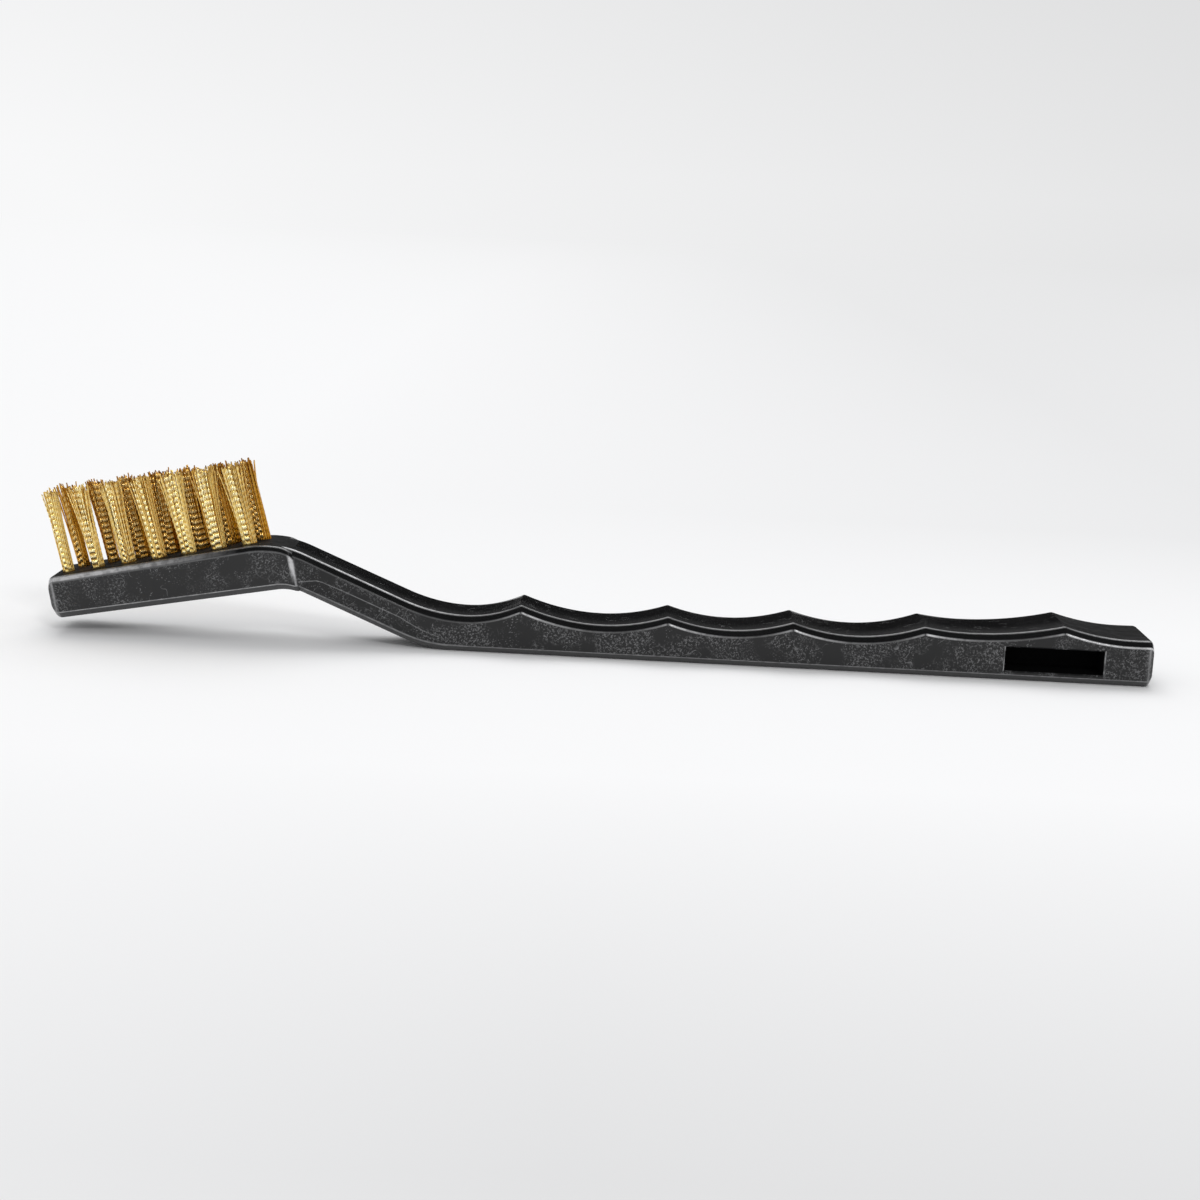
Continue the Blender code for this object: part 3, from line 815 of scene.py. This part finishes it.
def add_wire(bm, layers, plan, widening):
    """Sweep a small ring along one wire and close its ends."""
    step = CRIMP_LENGTH / 40  # over which the wire's direction is taken
    loops = []
    for z in wire_heights(plan["length"]):
        middle = wire_middle(plan, z, widening)
        ahead = wire_middle(plan, z + step, widening) - wire_middle(plan, z - step, widening)
        ahead.normalize()
        across = Vector((0, 1, 0)).cross(ahead).normalized()
        beside = ahead.cross(across)
        dark_end = max(0.0, 1 - (plan["length"] - z) / DARK_END_LENGTH) if plan["dark_end"] else 0.0
        marks = (plan["tone"], dark_end, crimp_valley(plan, z))
        loop = []
        for index in range(WIRE_SIDES):
            angle = 2 * math.pi * (index + 0.5) / WIRE_SIDES
            offset = (across * math.cos(angle) + beside * math.sin(angle)) * WIRE_RADIUS
            loop.append(bm.verts.new(middle + offset))
            for layer, mark in zip(layers, marks):
                loop[-1][layer] = mark
        loops.append(loop)
    join_loops(bm, loops)


def make_tuft(name, place, fullness, seed, material):
    """One tuft of crimped wires, folded in its hole."""
    chance = random.Random(seed)
    bm = bmesh.new()
    layers = [bm.verts.layers.float.new(label) for label in ("tone", "end", "valley")]
    radius = TUFT_ROOT_RADIUS * fullness - WIRE_RADIUS
    end_radius = TUFT_END_RADIUS * (1 + FULL_END_SHARE * (fullness - 1)) - WIRE_RADIUS
    locks = make_locks(radius, chance)
    row, number = name.split("_")
    trim = TRIM_FALL * (int(number) - 1) / (TUFTS_PER_ROW - 1)
    for root in packed_places(radius, WIRE_PITCH, chance):
        add_wire(bm, layers, wire_plan(root, locks, row, trim, chance), end_radius / radius)
    bmesh.ops.transform(bm, matrix=place, verts=bm.verts)
    piece = new_object(f"wires_{name}", bm, material, math.radians(60))
    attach(piece, "root")
    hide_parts(f"tuft_{name}")


class Nodes:
    """Short calls to lay out a material's nodes."""

    def __init__(self, tree):
        self.tree = tree

    def add(self, kind, values=None, **settings):
        """A new node with its settings, and its sockets fed by name or number."""
        node = self.tree.nodes.new(kind)
        for name, value in settings.items():
            setattr(node, name, value)
        self.feed(node, values or {})
        return node

    def feed(self, node, values):
        """Set sockets to numbers or colours, or link them to other nodes' outputs."""
        for socket, value in values.items():
            if isinstance(value, (int, float, tuple)):
                node.inputs[socket].default_value = value
            else:
                self.tree.links.new(value, node.inputs[socket])

    def maths(self, operation, first, second=0.0):
        return self.add("ShaderNodeMath", {0: first, 1: second}, operation=operation).outputs[0]

    def times(self, *values):
        return reduce(lambda first, second: self.maths("MULTIPLY", first, second), values)

    def most(self, *values):
        return reduce(lambda first, second: self.maths("MAXIMUM", first, second), values)

    def ramp(self, value, low, high, out_low=0.0, out_high=1.0):
        """The value's way from low to high, or down to it, as one from out_low to out_high."""
        values = {"Value": value, "From Min": low, "From Max": high,
                  "To Min": out_low, "To Max": out_high}
        return self.add("ShaderNodeMapRange", values, clamp=True).outputs["Result"]

    def mix(self, share, first, second):
        node = self.add("ShaderNodeMix", {0: share, 6: first, 7: second}, data_type="RGBA")
        return node.outputs[2]

    def noise(self, place, scale, detail=2.0, roughness=0.5):
        values = {"Vector": place, "Scale": scale, "Detail": detail, "Roughness": roughness}
        return self.add("ShaderNodeTexNoise", values).outputs["Fac"]

    def blotches(self, place, scale, low, high, out_high=1.0):
        """Soft spots: where a smooth noise is above its middle values."""
        return self.ramp(self.noise(place, scale, 1.0), low, high, 0.0, out_high)

    def hairline(self, place, scale, width):
        """Thin curved lines: where a smooth noise passes through its middle value."""
        field = self.noise(place, scale, 1.5)
        away = self.maths("ABSOLUTE", self.maths("SUBTRACT", field, 0.5))
        return self.ramp(away, width, 0.0)

    def cell_edges(self, place, scale):
        node = self.add("ShaderNodeTexVoronoi", {"Vector": place, "Scale": scale},
                        feature="DISTANCE_TO_EDGE")
        return node.outputs["Distance"]

    def warped(self, place, scale, amount):
        """The place moved about by a noise, so that what is drawn there has uneven lines."""
        noise = self.add("ShaderNodeTexNoise", {"Vector": place, "Scale": scale, "Detail": 1.0})
        values = {0: noise.outputs["Color"], 1: (amount, amount, amount), 2: place}
        return self.add("ShaderNodeVectorMath", values, operation="MULTIPLY_ADD").outputs[0]

    def stretched(self, place, *scale):
        return self.add("ShaderNodeMapping", {"Vector": place, "Scale": scale}).outputs["Vector"]

    def place(self, kind="Object"):
        return self.add("ShaderNodeTexCoord").outputs[kind]

    def parts(self, vector):
        return self.add("ShaderNodeSeparateXYZ", {0: vector}).outputs

    def attribute(self, name):
        return self.add("ShaderNodeAttribute", attribute_name=name).outputs["Fac"]


def new_material(name):
    material = bpy.data.materials.new(name)
    material.use_nodes = True
    return material, Nodes(material.node_tree), material.node_tree.nodes["Principled BSDF"]


def cool(shade, blue):
    """A grey with its own value for blue."""
    return (shade, shade, blue, 1.0)


def make_plastic():
    """Black conductive plastic: satin, with fine scratches and crackled, scuffed patches, and with
    painted highlights and reflections on its edges, under bevels and the front of its tops.
    """
    material, nodes, shader = new_material("black_conductive_plastic")
    place = nodes.place()
    x, y, _ = nodes.parts(place)
    kind = nodes.attribute("surface_kind")
    flank = nodes.ramp(kind, 0.75, 0.95)
    flank_or_top = nodes.ramp(kind, 0.2, 0.5)
    top = nodes.maths("SUBTRACT", flank_or_top, flank)
    painted_sheen = nodes.ramp(kind, -0.6, -0.9)

    patches = nodes.most(
        nodes.ramp(nodes.noise(place, 210.0), 0.44, 0.58),
        nodes.ramp(x, TIP_X + 0.0050, TIP_X + 0.0015, 0.0, 0.9),
        nodes.ramp(x, BUTT_X - 0.0070, BUTT_X - 0.0035, 0.0, 0.8))
    cells = nodes.cell_edges(nodes.warped(place, 1900.0, 0.0005), 3100.0)
    broken = nodes.blotches(place, 2800.0, 0.46, 0.60)
    crackle = nodes.times(nodes.ramp(cells, 0.16, 0.0), broken, patches)
    flecks = nodes.times(nodes.blotches(place, 4200.0, 0.63, 0.70),
                         nodes.blotches(place, 330.0, 0.48, 0.60, 0.8))
    grains = nodes.times(nodes.most(crackle, flecks),
                         nodes.most(flank, nodes.times(flank_or_top, 0.12)))
    scratches = nodes.times(nodes.hairline(place, 230.0, 0.0045),
                            nodes.blotches(place, 420.0, 0.50, 0.57),
                            nodes.most(flank, nodes.times(flank_or_top, 0.55)))
    marks = nodes.most(grains, scratches)

    clouds = nodes.noise(place, 120.0, 3.0)
    black = nodes.mix(clouds, (0.0040, 0.0041, 0.0044, 1.0), (0.0075, 0.0076, 0.0080, 1.0))
    on_head = nodes.times(nodes.ramp(x, STEP_X, STEP_X - 0.001), flank)
    black = nodes.mix(on_head, black, cool(0.0125, 0.0128))
    # Painted reflection: the front half of each top face is lighter.
    painted_top_sheen = nodes.times(top, nodes.ramp(y, -0.0005, -0.0055))
    black = nodes.mix(painted_top_sheen, black, cool(0.042, 0.043))
    # Painted reflection: the under bevels are lighter, as if they mirrored the floor.
    black = nodes.mix(painted_sheen, black, cool(0.060, 0.061))
    marked = nodes.mix(marks, black, cool(0.17, 0.174))
    uneven = nodes.ramp(nodes.noise(place, 900.0, 3.0, 0.7), 0.36, 0.58, 0.55, 1.0)
    # Painted highlights along the edges and in bands down the corners, in light grey.
    edges = nodes.times(nodes.attribute("edge_highlight"), uneven)

    glossy_top = nodes.maths("SUBTRACT", nodes.ramp(clouds, 0.3, 0.7, 0.21, 0.25),
                             nodes.times(flank_or_top, 0.12))
    skin = nodes.times(nodes.noise(place, 2600.0), flank, 0.4)
    bump = nodes.add("ShaderNodeBump", {"Strength": 0.35, "Distance": 0.00003,
                                        "Height": nodes.maths("ADD", skin, marks)})
    nodes.feed(shader, {
        "Base Color": nodes.mix(edges, marked, cool(0.60, 0.61)),
        "Roughness": nodes.maths("ADD", glossy_top, nodes.times(flank, 0.33)),
        "Specular IOR Level": 0.36,
        "Normal": bump.outputs["Normal"],
    })
    return material


def make_dull_plastic():
    """The same plastic where it is rubbed dull, round the tufts and where the thumb rests, with
    painted reflection streaks.
    """
    material, nodes, shader = new_material("dull_plastic")
    place = nodes.place()
    x = nodes.parts(place)["X"]
    # Painted reflection streaks along these faces, except on the head's top nearest the neck.
    streaks = nodes.ramp(nodes.noise(nodes.stretched(place, 120.0, 1100.0, 120.0), 1.0), 0.35, 0.68)
    painted_sheen = nodes.mix(streaks, cool(0.0045, 0.0047), cool(0.018, 0.0185))
    unstreaked = nodes.times(nodes.ramp(x, HEEL_X - 0.014, HEEL_X - 0.008),
                           nodes.ramp(x, GRIP_X + 0.01, GRIP_X))
    nodes.feed(shader, {
        "Base Color": nodes.mix(unstreaked, painted_sheen, cool(0.008, 0.0082)),
        "Roughness": nodes.ramp(nodes.noise(place, 500.0), 0.3, 0.7, 0.5, 0.7),
        "Specular IOR Level": 0.07,
    })
    return material


def make_slot_shade():
    """Matt black inside the slots, darker than the plastic: painted shade."""
    material, nodes, shader = new_material("slot_painted_shade")
    cloud = nodes.noise(nodes.place(), 900.0)
    nodes.feed(shader, {
        "Base Color": nodes.mix(cloud, cool(0.0015, 0.0016), cool(0.003, 0.0032)),
        "Roughness": nodes.ramp(cloud, 0.3, 0.7, 0.75, 0.95),
        "Specular IOR Level": 0.05,
    })
    return material


def make_rim_highlight():
    """The same plastic painted lighter, unevenly, round the slots' mouths: a painted highlight on
    their rims.
    """
    material, nodes, shader = new_material("rim_painted_highlight")
    painted_sheen = nodes.ramp(nodes.noise(nodes.place(), 800.0), 0.35, 0.65)
    nodes.feed(shader, {
        "Base Color": nodes.mix(painted_sheen, cool(0.08, 0.082), cool(0.34, 0.346)),
        "Roughness": 0.4,
    })
    return material


def make_brass():
    """Drawn brass wire, each wire of its own tone, some darker at their ends, with painted shade on
    the rear row, the tufts' sides and where crimps turn in, and painted highlights where they bulge
    out.
    """
    material, nodes, shader = new_material("brass_wire")
    place = nodes.place()
    tone = nodes.attribute("tone")
    valley = nodes.attribute("valley")
    # The tone carries the painted shade of the rear row and of the tufts' sides.
    colour = nodes.mix(tone, (1.0, 0.79, 0.28, 1.0), (0.60, 0.265, 0.004, 1.0))
    # Painted highlight: pale cream where the crimps bulge outwards.
    crest_highlight = nodes.times(nodes.ramp(valley, 0.50, 0.20), nodes.ramp(tone, 0.0, 0.8, 1.0, 0.1))
    colour = nodes.mix(crest_highlight, colour, (1.0, 0.91, 0.56, 1.0))
    # Random stains, and painted shade where the crimps turn in towards the tuft's middle.
    stains_and_shade = nodes.most(nodes.ramp(nodes.noise(place, 900.0), 0.55, 0.75, 0.0, 0.5),
                        nodes.ramp(valley, 0.55, 1.0, 0.0, 0.75))
    colour = nodes.mix(stains_and_shade, colour, (0.38, 0.15, 0.002, 1.0))
    end = nodes.times(nodes.attribute("end"), 0.6)
    nodes.feed(shader, {
        "Base Color": nodes.mix(end, colour, (0.30, 0.14, 0.025, 1.0)),
        "Metallic": 0.78,
        "Roughness": nodes.ramp(nodes.noise(place, 1600.0, 1.0), 0.3, 0.7, 0.09, 0.18),
        "Specular IOR Level": 0.2,
    })
    return material


def make_strip_metal():
    """Plain rolled strip, with fine lines along it."""
    material, nodes, shader = new_material("anchor_strip")
    lines = nodes.noise(nodes.stretched(nodes.place(), 200.0, 200.0, 6000.0), 1.0)
    nodes.feed(shader, {
        "Base Color": nodes.mix(lines, (0.58, 0.52, 0.42, 1.0), (0.70, 0.64, 0.54, 1.0)),
        "Metallic": 1.0,
        "Roughness": nodes.ramp(lines, 0.3, 0.7, 0.28, 0.45),
    })
    return material


# Floor, backdrop and the studio that the brush mirrors
FLOOR_SIZE = 40.0
FLOOR_FADE = (0.30, 2.2)  # metres away, where its shade turns into the backdrop's
FLOOR_SHADE = 0.925
FLOOR_BACK_SHADE = 0.80  # painted shade behind the brush, at its right
FLOOR_FRONT_SHADE = 0.742  # painted shade, darkest nearest to the camera
BACKDROP_SHADES = (0.937, 0.78)  # at the left and at the right
BACKDROP_SPREAD = 0.28  # how far aside these lie, as a share of the distance
BACKDROP_TOP_FADE = 0.06  # how much darker the backdrop is at its top
BACKDROP_END = (0.095, 0.112)  # the height at which it ends, softly, as a share of the same
MIRRORED_LIFT = 0.040  # in mirrors it ends so much lower
CEILING_SHADE = 0.012
BACK_PANEL_SHADE = 0.95
FRONT_PANEL_SHADE = 1.1
FRONT_PANEL_FADE = (1.45, 0.05)  # the share of it that shows, at its bottom and at its top
AMBIENT = 0.61
LAMPS = (  # direction, width in degrees, brightness
    ("front_right", (0.36, -0.72, 0.60), 14, 13.0),
    ("back_soft", (-0.05, 0.55, 0.83), 46, 2.4),
)


def grey(shade):
    return (shade, shade * 1.002, shade * 1.008, 1.0)


def backdrop_shade(nodes, aside):
    """The backdrop's shade, from how far to the side it lies."""
    left, right = BACKDROP_SHADES
    return nodes.mix(nodes.ramp(aside, -BACKDROP_SPREAD, BACKDROP_SPREAD), grey(left), grey(right))


def seen_directly(nodes):
    """1 for what the camera sees, also in a mirror or through glass, and 0 for fill light."""
    rays = nodes.add("ShaderNodeLightPath").outputs
    return nodes.most(rays["Is Camera Ray"], rays["Is Glossy Ray"], rays["Is Transmission Ray"])


def make_floor():
    """Level pale floor that takes the brush's shadow and fades into the backdrop's colour."""
    bm = bmesh.new()
    bmesh.ops.create_grid(bm, x_segments=8, y_segments=8, size=FLOOR_SIZE / 2)
    material, nodes, shader = new_material("pale_floor")
    position = nodes.add("ShaderNodeNewGeometry").outputs["Position"]
    x, y, _ = nodes.parts(position)
    distance = nodes.add("ShaderNodeVectorMath", {0: position}, operation="LENGTH").outputs["Value"]
    # Painted shade on the floor: darker behind the brush at its right and towards the camera, less
    # so at the left.
    behind = nodes.times(nodes.ramp(x, -0.10, 0.16), nodes.ramp(y, 0.03, 0.15))
    near = nodes.times(nodes.ramp(y, -0.072, -0.184), nodes.ramp(x, -0.055, 0.0, 0.62, 1.0))
    pale = nodes.mix(behind, grey(FLOOR_SHADE), grey(FLOOR_BACK_SHADE))
    nodes.feed(shader, {
        "Base Color": nodes.mix(near, pale, grey(FLOOR_FRONT_SHADE)),
        "Roughness": 0.9,
        "Specular IOR Level": 0.0,
    })
    far_shade = backdrop_shade(nodes, nodes.maths("DIVIDE", x, distance))
    glow = nodes.add("ShaderNodeEmission", {"Color": far_shade}).outputs[0]
    far = nodes.times(nodes.ramp(distance, *FLOOR_FADE), seen_directly(nodes))
    blend = nodes.add("ShaderNodeMixShader", {0: far, 1: shader.outputs["BSDF"], 2: glow})
    nodes.feed(material.node_tree.nodes["Material Output"], {"Surface": blend.outputs[0]})
    floor = new_object("studio_floor", bm, material)


def make_world():
    """A low pale backdrop under a dark studio ceiling, for eye and mirror, and an even fill."""
    world = bpy.data.worlds.new("studio")
    bpy.context.scene.world = world
    world.use_nodes = True
    nodes = Nodes(world.node_tree)
    fill = world.node_tree.nodes["Background"]
    nodes.feed(fill, {"Color": grey(AMBIENT)})
    x, y, height = nodes.parts(nodes.place("Generated"))

    fading = nodes.ramp(height, 0.0, 0.09, 0.0, BACKDROP_TOP_FADE)
    backdrop = nodes.mix(fading, backdrop_shade(nodes, x), grey(0.0))
    mirrored = nodes.add("ShaderNodeLightPath").outputs["Is Glossy Ray"]
    lifted = nodes.maths("ADD", height, nodes.times(mirrored, MIRRORED_LIFT))
    above_backdrop = nodes.ramp(lifted, *BACKDROP_END)
    front = nodes.times(nodes.ramp(y, 0.10, -0.45),
                        nodes.ramp(height, 0.20, 0.80, *FRONT_PANEL_FADE))
    behind = nodes.times(nodes.ramp(height, 0.50, 0.62), nodes.ramp(height, 0.97, 0.90),
                         nodes.ramp(y, 0.05, 0.25))
    panels = nodes.mix(behind, grey(CEILING_SHADE), grey(BACK_PANEL_SHADE))
    panels = nodes.mix(front, panels, grey(FRONT_PANEL_SHADE))
    shown = nodes.mix(above_backdrop, backdrop, panels)
    seen = nodes.add("ShaderNodeBackground", {"Color": shown})
    both = nodes.add("ShaderNodeMixShader", {
        0: seen_directly(nodes), 1: fill.outputs[0], 2: seen.outputs[0]})
    nodes.feed(world.node_tree.nodes["World Output"], {"Surface": both.outputs[0]})


def make_lights():
    """Round soft lamps far away, each of its brightness whatever its width is."""
    for name, towards, width, radiance in LAMPS:
        lamp = bpy.data.lights.new(name, "SUN")
        lamp.angle = math.radians(width)
        lamp.energy = radiance * math.pi * math.sin(lamp.angle / 2) ** 2
        holder = link_object(name, lamp)
        holder.location = towards
        holder.rotation_euler = Vector(towards).to_track_quat("Z", "Y").to_euler()


def make_camera():
    lens = bpy.data.cameras.new("camera")
    lens.lens = CAMERA_LENS
    lens.sensor_width = SENSOR_WIDTH
    lens.clip_start = 0.01
    camera = link_object("camera", lens)
    turn = Matrix.Rotation(CAMERA_TURN, 4, "Z")
    pitch = Matrix.Rotation(math.pi / 2 + CAMERA_PITCH, 4, "X")
    roll = Matrix.Rotation(CAMERA_ROLL, 4, "Z")
    camera.matrix_world = Matrix.Translation(CAMERA_PLACE) @ turn @ pitch @ roll
    bpy.context.scene.camera = camera


def dress_anchors(material):
    """The strips stay as they are and only get their metal."""
    for name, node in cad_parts.items():
        if name.startswith("anchor_"):
            node.data.materials.clear()
            node.data.materials.append(material)


def build():
    make_camera()
    frames = tuft_frames()
    make_handle(frames)
    brass = make_brass()
    for index, (name, place, fullness) in enumerate(frames):
        make_tuft(name, place, fullness, END_TUFT_SEEDS.get(name, index), brass)
    dress_anchors(make_strip_metal())
    make_floor()
    make_world()
    make_lights()
    bpy.context.scene.view_settings.view_transform = "Standard"


build()
